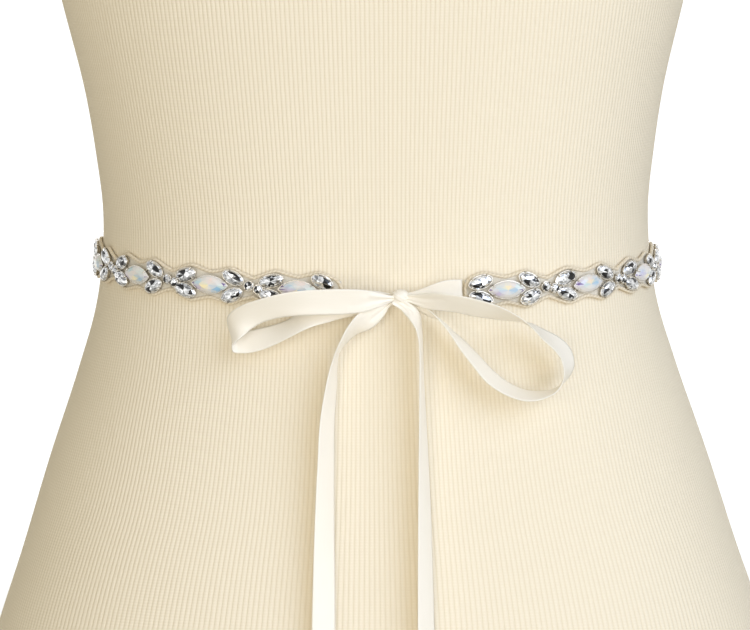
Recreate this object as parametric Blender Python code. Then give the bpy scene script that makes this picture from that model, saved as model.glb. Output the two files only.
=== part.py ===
"""Bridal sash tied in a bow at the back of a limbless dress form.

Metres, +Z up. The origin is the middle of the form's flat underside. The bow faces -Y.
Every row of the tables below is in millimetres and degrees.
"""
import bpy
import bmesh
import numpy as np

MM = 0.001

# The dress form, from its underside up: half its width, its depth behind and before the axis.
FORM_COLUMNS = ("height", "half_width", "back", "front")
FORM_ROWS = (
    (0, 159, 113, 93),
    (4, 163.5, 117, 97),
    (14, 166, 119.5, 99.5),
    (40, 168, 121, 101),
    (90, 167, 119.5, 99.5),
    (145, 156.2, 112, 94),
    (182, 144.0, 104.5, 88),
    (219, 132.3, 97, 84),
    (255, 120.0, 91, 81),
    (280, 112.6, 87.6, 79.5),
    (300, 109.7, 86.3, 79),
    (318, 109.2, 86, 79),
    (340, 111.5, 87, 81),
    (364, 115.2, 88.5, 84),
    (400, 123.7, 91.5, 91),
    (440, 133.0, 94, 103),
    (480, 141, 96, 115),
    (510, 145, 97.5, 118),
    (550, 148, 99, 108),
    (590, 152, 99, 92),
    (620, 157.5, 96, 79),
    (640, 159, 91.5, 69),
    (654, 152, 86, 62),
    (668, 133, 79, 57),
    (682, 105, 71, 53),
    (696, 77, 63, 50),
    (710, 59, 56, 48),
    (724, 52.5, 52.5, 47),
    (738, 51, 51, 46.5),
    (746, 49.5, 49.5, 45),
    (750, 45, 45, 41),
)
FORM_SQUARENESS = 2.4
FORM_SIDES = 48
FORM_BANDS = ((0, 14, 3), (14, 240, 8), (240, 350, 14), (350, 620, 9), (620, 724, 9), (724, 750, 4))

# The belt's line round the form: its height at the sides and in front, its dip at the back and its
# fall for each millimetre to +X.
BELT_HEIGHT = 297.0
BELT_DIP = 5.0
BELT_LEAN = 0.020
BELT_STEPS = 2400
BELT_RIGHT_END = 33.1
BELT_LEFT_END = 12.8

# The backing: a strip of fine net with a corded edge, scalloped round each group of stones.
BACKING_INSIDE = 0.3
BACKING_WALL = 1.0
CORD_PROUD = 0.6
CORD_WIDTH = 1.3
BACKING_STEPS_PER_MOTIF = 10
SCALLOP_COLUMNS = ("along", "half_height")
SCALLOP_ROWS = (
    (-18, 4.1),
    (-14, 5.7),
    (-8.6, 7.3),
    (-4, 6.3),
    (0, 5.5),
    (4, 6.3),
    (8.6, 7.3),
    (13.6, 5.5),
    (18, 4.1),
)

# One group of stones, measured from the middle of its large stone along and up the belt.
MOTIF_COUNT = 17
FIRST_MOTIF = 49.6
LAST_MOTIF = 30.0
MOTIF_UNDERSIDE = 1.6
MOTIF_RIM = 2.1
MOTIF_START = -15.3
MOTIF_LAST_END = 13.9
MOTIF_GAP = 0.4
STONE_COLUMNS = ("along_a", "up_a", "along_b", "up_b", "width", "top")
STONES = (
    (-15.0, 1.7, -5.2, 4.4, 5.2, 3.9),
    (-15.0, -1.7, -5.2, -4.4, 5.2, 3.9),
    (-7.6, 0.0, 7.6, 0.0, 7.3, 4.3),
    (4.9, 4.9, 13.6, 1.3, 5.2, 3.9),
    (4.9, -4.9, 13.6, -1.3, 5.2, 3.9),
    (13.8, 0.5, 18.0, 0.5, 4.2, 3.6),
    (17.4, -0.6, 21.4, -0.6, 4.0, 3.6),
)
ENVELOPE_COLUMNS = ("along", "half_height")
ENVELOPE_ROWS = (
    (-15.3, 3.3),
    (-11, 5.1),
    (-8, 5.9),
    (-4.4, 5.3),
    (0, 4.1),
    (4.2, 5.3),
    (7.5, 5.9),
    (11, 4.7),
    (14, 3.0),
    (20.4, 2.5),
)
MOTIF_STATIONS = (0, 0.05, 0.14, 0.22, 0.30, 0.37, 0.46, 0.55, 0.62, 0.70, 0.79, 0.89, 1)
MOTIF_LINES = (-1, -0.82, -0.5, -0.2, 0, 0.2, 0.5, 0.82, 1)

# How pointed a stone's outline is along and across it, and how steep its bevelled edge is.
STONE_POINT_ALONG = 1.7
STONE_POINT_ACROSS = 1.5
STONE_BEVEL = 2.2

# The satin ribbon. Each row is a place on its centre line, measured from the knot: to the right,
# up, and out from the form's back. slant is the way its width points, clockwise from straight up
# as seen from behind the form, lean is how far the width turns out towards the viewer.
RIBBON_WALL = 1.0
RIBBON_STEP = 2.5
TAIL_STEP = 4.5
KNOT_RIGHT = 8.9
KNOT_HEIGHT = 290.4
KNOT_OUT = 6.4
KNOT_HALF = (3.7, 4.2, 3.1)
KNOT_SQUARENESS = 2.6
KNOT_SIDES = 20
KNOT_RINGS = 9
KNOT_WRAPS = 5
KNOT_WRAP_DEPTH = 0.07
RIBBON_COLUMNS = ("right", "up", "out", "slant", "lean", "width")
RIBBONS = {
    "ribbon_end_right": (
        (23.8, 1.5, 1.3, 0, 0, 8.2),
        (17.6, 1.2, 2.2, 0, 5, 8.6),
        (11.8, 0.4, 2.9, 0, 8, 6.8),
        (7.8, 0.1, 3.2, 0, 4, 4.6),
        (3.5, -0.1, 3.6, 0, 0, 2.6),
    ),
    "ribbon_end_left": (
        (-21.3, -2.0, 1.3, 0, 0, 8.3),
        (-13.3, -2.0, 2.3, 0, 4, 8.2),
        (-8.2, -1.3, 2.8, 0, 4, 6.4),
        (-3.5, -0.5, 3.6, 0, 0, 3.0),
    ),
    "bow_loop_left": (
        (-3.7, -0.6, 8.8, 0, 0, 2.6),
        (-6.6, -0.7, 10.0, 0, 2, 4.4),
        (-9.6, -0.8, 11.3, 0, 5, 6.4),
        (-13.5, -0.9, 12.7, 0, 7, 8.4),
        (-21.6, -1.0, 14.0, 0, 9, 9.8),
        (-32.5, -1.1, 15.3, 0, 9, 9.8),
        (-41.2, -1.7, 15.8, 0, 17, 9.8),
        (-50.0, -3.5, 15.3, 0, 27, 9.8),
        (-57.7, -6.5, 14.3, -4, 20, 9.8),
        (-61.2, -9.0, 13.4, -8, 6, 9.8),
        (-63.6, -12.2, 12.0, -12, -18, 9.8),
        (-64.5, -15.2, 9.8, -14, -46, 9.8),
        (-63.2, -17.4, 7.9, -5, -48, 9.8),
        (-60.5, -17.5, 7.2, -3, -46, 9.8),
        (-57.6, -17.0, 7.0, 0, -38, 9.8),
        (-54.2, -16.2, 7.0, 0, -38, 9.8),
        (-48.0, -14.2, 7.0, 0, -46, 9.8),
        (-41.5, -11.3, 7.4, 0, -52, 9.8),
        (-36.9, -8.7, 7.5, 0, -46, 9.8),
        (-31.9, -5.9, 7.3, 0, -24, 9.8),
        (-26.6, -4.2, 7.0, 0, -6, 9.8),
        (-15.2, -2.2, 6.2, 0, 0, 8.6),
        (-9.0, -1.5, 5.6, 0, 0, 5.8),
        (-4.0, -1.1, 5.2, 0, 0, 3.0),
    ),
    "bow_loop_right": (
        (3.7, -0.6, 8.8, 0, 10, 3.0),
        (6.6, -0.9, 10.0, 1, 20, 4.6),
        (9.4, -1.3, 11.4, 2, 30, 6.5),
        (15.1, -1.5, 14, 5, 42, 9.5),
        (21.1, -2.2, 15.2, 8, 44, 9.8),
        (28.2, -3.8, 16.2, 12, 45, 9.8),
        (36.5, -6.0, 16.5, 17, 54, 9.8),
        (43.7, -8.6, 17, 22, 72, 9.8),
        (48.7, -10.9, 17, 30, 90, 9.8),
        (54.4, -15.1, 16.5, 38, 106, 9.8),
        (59.8, -19.2, 16, 46, 116, 9.8),
        (63.2, -23.6, 15, 68, 119, 9.8),
        (64.0, -27.5, 14.5, 90, 117, 9.8),
        (62.8, -31.7, 13.5, 118, 105, 9.8),
        (58.9, -36.0, 12.5, 145, 90, 9.8),
        (54.0, -37.7, 12, 168, 80, 9.8),
        (47.4, -37.9, 11.5, 186, 72, 9.8),
        (41.3, -35.7, 11, 202, 68, 9.8),
        (34.5, -31.0, 11, 215, 64, 9.8),
        (28.1, -23.8, 10.5, 225, 68, 9.8),
        (23.3, -18.1, 10, 228, 74, 9.8),
        (19.5, -13.6, 9.5, 226, 84, 9.8),
        (15.1, -8.9, 8.3, 222, 92, 8.5),
        (10.5, -6.2, 6.0, 212, 118, 5.5),
        (5.6, -3.2, 5.1, 208, 160, 3.0),
    ),
    "ribbon_tail_left": (
        (-4.7, -3.0, 7.0, 125, -10, 2.4),
        (-7.6, -5.0, 7.6, 130, -14, 5.4),
        (-11.4, -7.5, 8.1, 135, -22, 8.2),
        (-17.9, -12.0, 9.0, 138, -58, 9.8),
        (-21.4, -16.5, 8.6, 125, -72, 9.8),
        (-24.0, -20.8, 7.9, 112, -80, 9.8),
        (-25.3, -25.7, 7.4, 100, -76, 9.8),
        (-26.3, -32.5, 7.2, 97, -67, 9.8),
        (-28.0, -45.6, 6.9, 92, -58, 9.8),
        (-28.9, -64.7, 6.3, 91, -51, 9.8),
        (-30.3, -124.5, 4.8, 90, -28, 9.8),
        (-31.2, -180, 4.4, 90, -20, 9.8),
        (-32.0, -226, 4.4, 90, -14, 9.8),
    ),
    "ribbon_tail_right": (
        (2.7, -4.3, 9.0, 38, -12, 4.4),
        (4.4, -5.9, 9.5, 48, -44, 6.2),
        (5.7, -7.9, 9.7, 62, -61, 8.0),
        (6.7, -10.3, 9.5, 78, -73, 9.6),
        (7.5, -14.6, 9.0, 87, -80, 9.8),
        (7.8, -20.7, 8.6, 90, -82, 9.8),
        (7.9, -32.7, 8.0, 90, -80, 9.8),
        (8.1, -45.8, 7.6, 90, -75, 9.8),
        (8.3, -64.9, 7.1, 90, -67, 9.8),
        (8.5, -124.5, 6.2, 90, -51, 9.8),
        (8.8, -185, 5.4, 90, -40, 9.8),
        (9.2, -243, 5.2, 90, -34, 9.8),
    ),
}
TAIL_SLANT_CUT = 4.0
SHARP_EDGE = 0.7

# Colours as linear red, green and blue, then roughness and metallic.
FINISHES = {
    "jersey": ((0.85, 0.76, 0.56), 0.9, 0.0),
    "net": ((0.86, 0.82, 0.72), 0.6, 0.0),
    "stones": ((0.74, 0.76, 0.80), 0.15, 0.8),
    "satin": ((0.93, 0.89, 0.78), 0.35, 0.0),
}


def column(rows, columns, name):
    """One named column of a table."""
    return np.array([row[columns.index(name)] for row in rows], float)


def smooth_through(knots, values, at):
    """A cubic curve through the rows, its slope at a row taken from its two neighbours."""
    steps = np.diff(knots)
    chords = np.diff(values) / steps
    slopes = np.empty(len(knots))
    slopes[0] = chords[0]
    slopes[-1] = chords[-1]
    slopes[1:-1] = (chords[:-1] * steps[1:] + chords[1:] * steps[:-1]) / (steps[1:] + steps[:-1])
    at = np.clip(np.asarray(at, float), knots[0], knots[-1])
    row = np.clip(np.searchsorted(knots, at, side="right") - 1, 0, len(steps) - 1)
    part = (at - knots[row]) / steps[row]
    start = values[row] * (1 + 2 * part) * (1 - part) ** 2
    start_slope = slopes[row] * steps[row] * part * (1 - part) ** 2
    end = values[row + 1] * part ** 2 * (3 - 2 * part)
    end_slope = slopes[row + 1] * steps[row] * part ** 2 * (part - 1)
    return start + start_slope + end + end_slope


def form_size(height, name):
    """One size of the form's section at the given heights."""
    heights = column(FORM_ROWS, FORM_COLUMNS, "height")
    return smooth_through(heights, column(FORM_ROWS, FORM_COLUMNS, name), height)


def form_section(turn, height):
    """Across, depth and outward normal of the form's section, turned from the back towards +X."""
    half_width = form_size(height, "half_width")
    behind = np.cos(turn) > 0
    depth = np.where(behind, form_size(height, "back"), form_size(height, "front"))
    power = 2 / FORM_SQUARENESS
    across_share = np.sign(np.sin(turn)) * np.abs(np.sin(turn)) ** power
    depth_share = -np.sign(np.cos(turn)) * np.abs(np.cos(turn)) ** power
    normal_x = np.sign(across_share) * np.abs(across_share) ** (FORM_SQUARENESS - 1) / half_width
    normal_y = np.sign(depth_share) * np.abs(depth_share) ** (FORM_SQUARENESS - 1) / depth
    length = np.hypot(normal_x, normal_y)
    return across_share * half_width, depth_share * depth, normal_x / length, normal_y / length


def back_depth(across, height):
    """How far behind the axis the form's back lies at a place across and up it."""
    share = np.clip(np.abs(across) / form_size(height, "half_width"), 0, 0.98)
    return form_size(height, "back") * (1 - share ** FORM_SQUARENESS) ** (1 / FORM_SQUARENESS)


class BeltLine:
    """The belt's centre line on the form, measured along it from the middle of the back."""

    def __init__(self):
        self.turns = np.linspace(0, 2 * np.pi, BELT_STEPS + 1)
        across, depth, _, _ = form_section(self.turns, self.height(self.turns))
        up = self.height(self.turns)
        points = np.stack([across, depth, up], axis=-1)
        steps = np.linalg.norm(np.diff(points, axis=0), axis=1)
        self.distance = np.concatenate([[0], np.cumsum(steps)])
        self.length = self.distance[-1]

    def height(self, turn):
        """Height of the line: level in front and at the sides, dipping behind, falling to +X."""
        across, depth, _, _ = form_section(turn, np.full(np.shape(turn), BELT_HEIGHT))
        behind = np.clip(-depth / form_size(BELT_HEIGHT, "back"), 0, 1)
        return BELT_HEIGHT - BELT_DIP * behind ** 2 - BELT_LEAN * across

    def point(self, along, up, out):
        """A place on the belt: along its line, up across it and out from the form."""
        turn = np.interp(along, self.distance, self.turns)
        height = self.height(turn) + up
        across, depth, normal_x, normal_y = form_section(turn, height)
        return np.stack([across + out * normal_x, depth + out * normal_y, height], axis=-1)


def make_material(name):
    """A plain material in one of the named finishes."""
    colour, roughness, metallic = FINISHES[name]
    material = bpy.data.materials.new(name)
    material.use_nodes = True
    shader = material.node_tree.nodes["Principled BSDF"]
    shader.inputs["Base Color"].default_value = (*colour, 1)
    shader.inputs["Roughness"].default_value = roughness
    shader.inputs["Metallic"].default_value = metallic
    return material


def make_object(name, points, faces, material):
    """A closed mesh from points in millimetres, with its faces turned outwards."""
    mesh = bpy.data.meshes.new(name)
    mesh.from_pydata((np.asarray(points) * MM).tolist(), [], faces)
    body = bmesh.new()
    body.from_mesh(mesh)
    bmesh.ops.recalc_face_normals(body, faces=body.faces)
    body.to_mesh(mesh)
    body.free()
    mesh.shade_smooth()
    mesh.set_sharp_from_angle(angle=SHARP_EDGE)
    mesh.materials.append(material)
    thing = bpy.data.objects.new(name, mesh)
    bpy.context.collection.objects.link(thing)
    return thing


def skin(sections):
    """Points and faces of a body whose sections are closed rings, with a flat face at each end."""
    count, size = sections.shape[:2]
    faces = []
    for ring in range(count - 1):
        for side in range(size):
            after = (side + 1) % size
            low = ring * size
            high = low + size
            faces.append((low + side, low + after, high + after, high + side))
    faces.append(tuple(range(size)))
    faces.append(tuple(range((count - 1) * size, count * size)))
    return sections.reshape(-1, 3), faces


def form_heights():
    """Heights of the form's sections, closer together where it curves more."""
    bands = [np.linspace(low, high, count, endpoint=False) for low, high, count in FORM_BANDS]
    return np.concatenate(bands + [[FORM_BANDS[-1][1]]])


def dress_form(line, material):
    """The form: squared ovals of the named sizes, stacked from its flat underside to its neck."""
    along = np.linspace(0, line.length, FORM_SIDES, endpoint=False)
    turn = np.interp(along, line.distance, line.turns)
    heights = form_heights()
    turn_grid, height_grid = np.meshgrid(turn, heights)
    across, depth, _, _ = form_section(turn_grid, height_grid)
    points, faces = skin(np.stack([across, depth, height_grid], axis=-1))
    return make_object("dress_form", points, faces, material)


def scallop(along, first, pitch):
    """Half the backing's height: it swells round the paired stones and narrows at each link."""
    place = (along - first + pitch / 2) % pitch - pitch / 2
    knots = column(SCALLOP_ROWS, SCALLOP_COLUMNS, "along") * pitch / 36
    return smooth_through(knots, column(SCALLOP_ROWS, SCALLOP_COLUMNS, "half_height"), place)


def sash_backing(line, pitch, material):
    """The backing: a thin wall round the form with a raised cord along both edges."""
    start = BELT_RIGHT_END
    end = line.length - BELT_LEFT_END
    steps = int(round((end - start) / pitch * BACKING_STEPS_PER_MOTIF))
    along = np.linspace(start, end, steps + 1)
    half = scallop(along, FIRST_MOTIF, pitch)
    face = BACKING_INSIDE + BACKING_WALL
    cord_top = face + CORD_PROUD
    profile = (
        (-1, 0, BACKING_INSIDE),
        (-1, 0, face),
        (-1, CORD_WIDTH / 2, cord_top),
        (-1, CORD_WIDTH, face),
        (0, 0, face),
        (1, -CORD_WIDTH, face),
        (1, -CORD_WIDTH / 2, cord_top),
        (1, 0, face),
        (1, 0, BACKING_INSIDE),
    )
    rings = [line.point(along, share * half + inset, out) for share, inset, out in profile]
    points, faces = skin(np.stack(rings, axis=1))
    return make_object("sash_backing", points, faces, material)


def stone_rise(along, up):
    """How far the stones stand at each place: each is a pointed oval with a bevelled edge."""
    rise = np.zeros(np.shape(along))
    for along_a, up_a, along_b, up_b, width, top in STONES:
        length = np.hypot(along_b - along_a, up_b - up_a)
        run = ((along_b - along_a) / length, (up_b - up_a) / length)
        from_middle = (along - (along_a + along_b) / 2, up - (up_a + up_b) / 2)
        lengthwise = (from_middle[0] * run[0] + from_middle[1] * run[1]) / (length / 2)
        crosswise = (from_middle[1] * run[0] - from_middle[0] * run[1]) / (width / 2)
        inside = 1 - np.abs(lengthwise) ** STONE_POINT_ALONG - np.abs(crosswise) ** STONE_POINT_ACROSS
        rise = np.maximum(rise, (top - MOTIF_RIM) * np.clip(inside * STONE_BEVEL, 0, 1))
    return rise


def motif(number, line, pitch, material):
    """One group of stones: a thin plate with the stones raised in its outer face."""
    last = number == MOTIF_COUNT
    end = MOTIF_LAST_END if last else pitch + MOTIF_START - MOTIF_GAP
    stations = MOTIF_START + (end - MOTIF_START) * np.array(MOTIF_STATIONS)
    knots = column(ENVELOPE_ROWS, ENVELOPE_COLUMNS, "along")
    half = smooth_through(knots, column(ENVELOPE_ROWS, ENVELOPE_COLUMNS, "half_height"), stations)
    along = np.repeat(stations[:, None], len(MOTIF_LINES), axis=1)
    up = half[:, None] * np.array(MOTIF_LINES)
    out = MOTIF_RIM + stone_rise(along, up)
    place = FIRST_MOTIF + (number - 1) * pitch
    face = line.point(place + along, up, out)
    under = line.point(place + along[:, [-1, 0]], up[:, [-1, 0]], MOTIF_UNDERSIDE)
    points, faces = skin(np.concatenate([face, under], axis=1))
    return make_object(f"motif_{number:02d}", points, faces, material)


def ribbon(name, rows, material):
    """A stretch of ribbon: a flat wall carried along its centre line, its width always square to it."""
    values = {key: column(rows, RIBBON_COLUMNS, key) for key in RIBBON_COLUMNS}
    height = KNOT_HEIGHT + values["up"]
    across = KNOT_RIGHT + values["right"]
    depth = -back_depth(across, height) - values["out"]
    places = np.stack([across, depth, height], axis=-1)
    spans = np.linalg.norm(np.diff(places, axis=0), axis=1)
    knots = np.concatenate([[0], np.cumsum(spans)])
    step = TAIL_STEP if "tail" in name else RIBBON_STEP
    at = np.linspace(0, knots[-1], int(round(knots[-1] / step)) + 1)
    centre = np.stack([smooth_through(knots, places[:, axis], at) for axis in range(3)], axis=-1)
    slant = np.radians(smooth_through(knots, values["slant"], at))
    lean = np.radians(smooth_through(knots, values["lean"], at))
    half = smooth_through(knots, values["width"], at) / 2
    forward = np.gradient(centre, at, axis=0)
    forward /= np.linalg.norm(forward, axis=1)[:, None]
    in_view = np.stack([np.sin(slant), np.zeros(len(at)), np.cos(slant)], axis=-1)
    width = np.cos(lean)[:, None] * in_view - np.sin(lean)[:, None] * np.array([0, 1, 0])
    width -= np.sum(width * forward, axis=1)[:, None] * forward
    width /= np.linalg.norm(width, axis=1)[:, None]
    face = np.cross(forward, width)
    corners = ((-1, -1), (1, -1), (1, 1), (-1, 1))
    rings = []
    for side, skin_side in corners:
        edge = centre + side * half[:, None] * width + skin_side * RIBBON_WALL / 2 * face
        if "tail" in name:
            edge[-1, 2] += side * TAIL_SLANT_CUT
        rings.append(edge)
    points, faces = skin(np.stack(rings, axis=1))
    return make_object(name, points, faces, material)


def bow_knot(material):
    """The knot: a squared ball with slanting wraps of ribbon round it."""
    power = 2 / KNOT_SQUARENESS
    polar = np.linspace(0, np.pi, KNOT_RINGS + 2)[1:-1]
    turn = np.linspace(0, 2 * np.pi, KNOT_SIDES, endpoint=False)
    polar_grid, turn_grid = np.meshgrid(polar, turn, indexing="ij")
    girth = np.sin(polar_grid) ** power
    wrap = 1 + KNOT_WRAP_DEPTH * np.sin(KNOT_WRAPS * polar_grid + turn_grid)
    side_a = np.sign(np.cos(turn_grid)) * np.abs(np.cos(turn_grid)) ** power
    side_b = np.sign(np.sin(turn_grid)) * np.abs(np.sin(turn_grid)) ** power
    end = np.sign(np.cos(polar_grid)) * np.abs(np.cos(polar_grid)) ** power
    middle_y = -back_depth(KNOT_RIGHT, KNOT_HEIGHT) - KNOT_OUT
    across = KNOT_RIGHT + KNOT_HALF[0] * end
    depth = middle_y + KNOT_HALF[1] * girth * side_a * wrap
    height = KNOT_HEIGHT + KNOT_HALF[2] * girth * side_b * wrap
    points, faces = skin(np.stack([across, depth, height], axis=-1))
    return make_object("bow_knot", points, faces, material)


def main():
    for old in list(bpy.data.objects):
        bpy.data.objects.remove(old)
    materials = {name: make_material(name) for name in FINISHES}
    line = BeltLine()
    pitch = (line.length - LAST_MOTIF - FIRST_MOTIF) / (MOTIF_COUNT - 1)
    dress_form(line, materials["jersey"])
    sash_backing(line, pitch, materials["net"])
    for number in range(1, MOTIF_COUNT + 1):
        motif(number, line, pitch, materials["stones"])
    for name, rows in RIBBONS.items():
        ribbon(name, rows, materials["satin"])
    bow_knot(materials["satin"])


main()
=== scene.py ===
"""Bridal sash tied in a bow at the back of a limbless dress form: its finished surfaces.

The tables are in millimetres and degrees, and the meshes in metres, +Z up. The origin is the middle
of the form's flat underside, and the bow is on the side that faces -Y.
"""
import math

import bpy
import numpy as np
from mathutils import Matrix


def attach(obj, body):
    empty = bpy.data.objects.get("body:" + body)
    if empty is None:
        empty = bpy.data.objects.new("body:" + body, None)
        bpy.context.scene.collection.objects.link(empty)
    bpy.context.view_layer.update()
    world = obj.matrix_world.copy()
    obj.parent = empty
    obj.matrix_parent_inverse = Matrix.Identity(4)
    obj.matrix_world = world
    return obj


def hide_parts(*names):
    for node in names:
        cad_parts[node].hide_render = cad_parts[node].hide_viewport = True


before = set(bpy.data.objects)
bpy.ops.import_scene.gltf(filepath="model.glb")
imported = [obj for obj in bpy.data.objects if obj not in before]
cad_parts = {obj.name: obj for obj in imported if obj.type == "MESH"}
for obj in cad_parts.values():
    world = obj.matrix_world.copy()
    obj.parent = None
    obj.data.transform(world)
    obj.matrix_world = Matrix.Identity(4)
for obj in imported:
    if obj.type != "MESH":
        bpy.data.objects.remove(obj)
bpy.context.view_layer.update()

MM = 0.001
SEED = 11

# The dress form, from its underside up: half its width, its depth behind and before the axis.
FORM_COLUMNS = ("height", "half_width", "back", "front")
FORM_ROWS = (
    (0, 159, 113, 93),
    (4, 163.5, 117, 97),
    (14, 166, 119.5, 99.5),
    (40, 168, 121, 101),
    (90, 167, 119.5, 99.5),
    (145, 156.2, 112, 94),
    (182, 144.0, 104.5, 88),
    (219, 132.3, 97, 84),
    (255, 120.0, 91, 81),
    (280, 112.6, 87.6, 79.5),
    (300, 109.7, 86.3, 79),
    (318, 109.2, 86, 79),
    (340, 111.5, 87, 81),
    (364, 115.2, 88.5, 84),
    (400, 123.7, 91.5, 91),
    (440, 133.0, 94, 103),
    (480, 141, 96, 115),
    (510, 145, 97.5, 118),
    (550, 148, 99, 108),
    (590, 152, 99, 92),
    (620, 157.5, 96, 79),
    (640, 159, 91.5, 69),
    (654, 152, 86, 62),
    (668, 133, 79, 57),
    (682, 105, 71, 53),
    (696, 77, 63, 50),
    (710, 59, 56, 48),
    (724, 52.5, 52.5, 47),
    (738, 51, 51, 46.5),
    (746, 49.5, 49.5, 45),
    (750, 45, 45, 41),
)
FORM_SQUARENESS = 2.4
FORM_BANDS = ((0, 14, 10), (14, 240, 52), (240, 350, 34), (350, 620, 56), (620, 724, 44), (724, 750, 16))
FORM_COLUMNS_ROUND = 192
SEAM_DEPTH = 0.35

# Its knitted cover: how far apart the crosswise courses are, its relief in metres, and its colours; the
# grooves' darker colour is painted shade.
COURSE = 1.1
RIB_RELIEF = 0.00017
JERSEY_GROOVE_SHADE = (0.85, 0.755, 0.575, 1)
JERSEY_RIDGE = (0.925, 0.845, 0.69, 1)
JERSEY_TICK = (0.80, 0.69, 0.50, 1)
JERSEY_CLOUD = (0.87, 0.79, 0.62, 1)
JERSEY_FLUFF = (0.97, 0.93, 0.83, 1)

# How far apart the knitted ribs are, up the form: its cover is stretched where the form is wide.
RIB_COLUMNS = ("height", "pitch")
RIB_ROWS = (
    (0, 2.25),
    (90, 2.25),
    (165, 2.06),
    (190, 1.93),
    (205, 1.84),
    (220, 1.77),
    (240, 1.70),
    (262, 1.63),
    (290, 1.59),
    (320, 1.59),
    (342, 1.64),
    (365, 1.70),
    (398, 1.78),
    (450, 1.88),
    (510, 1.95),
    (600, 1.9),
    (660, 1.6),
    (724, 1.3),
    (750, 1.3),
)

# The belt's line round the form: its height at the sides and in front, its dip at the back and its
# fall for each millimetre to +X.
BELT_HEIGHT = 297.0
BELT_DIP = 5.0
BELT_LEAN = 0.020
BELT_STEPS = 2400
BELT_RIGHT_END = 33.1
BELT_LEFT_END = 12.8

# The net strip and the twisted cord sewn round its edge.
NET_OUT = 1.05
NET_WALL = 0.25
NET_STEP = 0.9
NET_ACROSS = 11
NET_RIPPLE = 0.14
NET_RIPPLE_LENGTHS = (3.1, 7.7)
NET_RIPPLE_SKEW = 1.7
NET_MESH = 6.5
NET_DIM = (0.97, 0.90, 0.77, 1)
NET_PALE = (1.0, 0.96, 0.86, 1)
CORD_RADIUS = 0.66
CORD_OUT = 1.2
CORD_STEP = 0.4
CORD_SIDES = 10
CORD_LAY = 1.6
CORD_TWIST = 0.07
CORD_CORNER = 3.0
CORD_EDGE_STEPS = 6000
# The cord's colours: the darker one is painted shade in the grooves between its plies.
CORD_GROOVE_SHADE = (0.70, 0.60, 0.44, 1)
CORD_PLY = (0.86, 0.775, 0.62, 1)
CORD_FIBRE = (0.90, 0.84, 0.71, 1)
CORD_CLOUD = (0.66, 0.56, 0.40, 1)
SCALLOP_COLUMNS = ("along", "half_height")
SCALLOP_ROWS = (
    (-18, 4.1),
    (-14, 5.7),
    (-8.6, 7.3),
    (-4, 6.3),
    (0, 5.5),
    (4, 6.3),
    (8.6, 7.3),
    (13.6, 5.5),
    (18, 4.1),
)

# One group of stones, measured from the middle of its opal: where each starts and ends along and up
# the belt, how wide it is, how far out its top is, and its kind.
MOTIF_COUNT = 17
FIRST_MOTIF = 49.6
LAST_MOTIF = 30.0
STONES = (
    (-15.0, 1.7, -5.2, 4.4, 5.4, 3.9, "clear"),
    (-15.0, -1.7, -5.2, -4.4, 5.4, 3.9, "clear"),
    (-7.6, 0.0, 7.6, 0.0, 7.3, 4.3, "opal"),
    (4.9, 5.1, 13.6, 1.3, 5.4, 3.9, "clear"),
    (4.9, -5.1, 13.6, -1.3, 5.4, 3.9, "clear"),
    (13.8, 0.5, 18.0, 0.5, 4.2, 3.6, "round"),
    (17.4, -0.6, 21.4, -0.6, 4.0, 3.6, "round"),
)
LINK_STONES = 2
STONE_TURN = 0.025
STONE_TILT = 0.05
STONE_INSET = 0.15
SETTING_INSET = 0.1
SETTING_FOOT = 1.35
STONE_GIRDLE = 2.65
STONE_SIDES = {"clear": 12, "opal": 16, "round": 8}
# The outline's power and pinch: a pointed oval's ends come to a point, a round stone's don't.
STONE_OUTLINE = {"clear": (2.4, 0.64), "opal": (2.1, 0.84), "round": (2.0, 0.5)}
CUP_SIDES = {"clear": 20, "opal": 20, "round": 12}
CLAW_SIDES = 6
CLAW_FLATNESS = 0.75
CLAW_PLACES = {"clear": (0.9, 2.2, 4.1, 5.4), "opal": (0.75, 2.4, 3.9, 5.5), "round": (0.8, 2.4, 3.9, 5.5)}

SILVER_WORN = (0.36, 0.32, 0.25, 1)
SILVER_BRIGHT = (0.84, 0.80, 0.72, 1)

# Facets of a clear stone: their tones, painted reflections of the room, with the share of each, and its
# patches of black ones, painted dark reflections.
CLEAR_REFLECTION_TONES = (1.0, 0.76, 0.50, 0.27)
CLEAR_SHARES = (0.32, 0.28, 0.24, 0.16)
CLEAR_TINT = (0.97, 0.985, 1.0)
DARK_REFLECTION_TONE = 0.015
BLACK_PATCHES = (2, 2)
BLACK_CHANCE = 0.8

# Flashes in an opal: where one lies along and across it as a share of its half length, how wide
# it is, its colour, and how strong it is.
OPAL_FLASHES = (
    (0.36, -0.04, 0.28, (0.24, 0.49, 0.75), 1.2),
    (-0.32, 0.16, 0.24, (0.42, 0.68, 0.80), 1.0),
    (-0.02, -0.05, 0.22, (0.96, 0.84, 0.44), 1.1),
    (0.10, 0.26, 0.18, (0.92, 0.70, 0.62), 0.8),
    (-0.58, -0.10, 0.26, (0.58, 0.50, 0.74), 1.0),
    (0.62, 0.16, 0.18, (0.62, 0.82, 0.74), 0.7),
)
OPAL_MILK = (0.77, 0.75, 0.725)
OPAL_CLOUD = (0.82, 0.80, 0.77, 1)
# Painted violet glints on a few facets at each tip: their colour, where each tip begins, and how many facets
# at each.
OPAL_VIOLET_GLINT = (0.12, 0.06, 0.26)
OPAL_TIPS = (-0.62, 0.70)
OPAL_TIP_FACETS = (4, 2)

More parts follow.
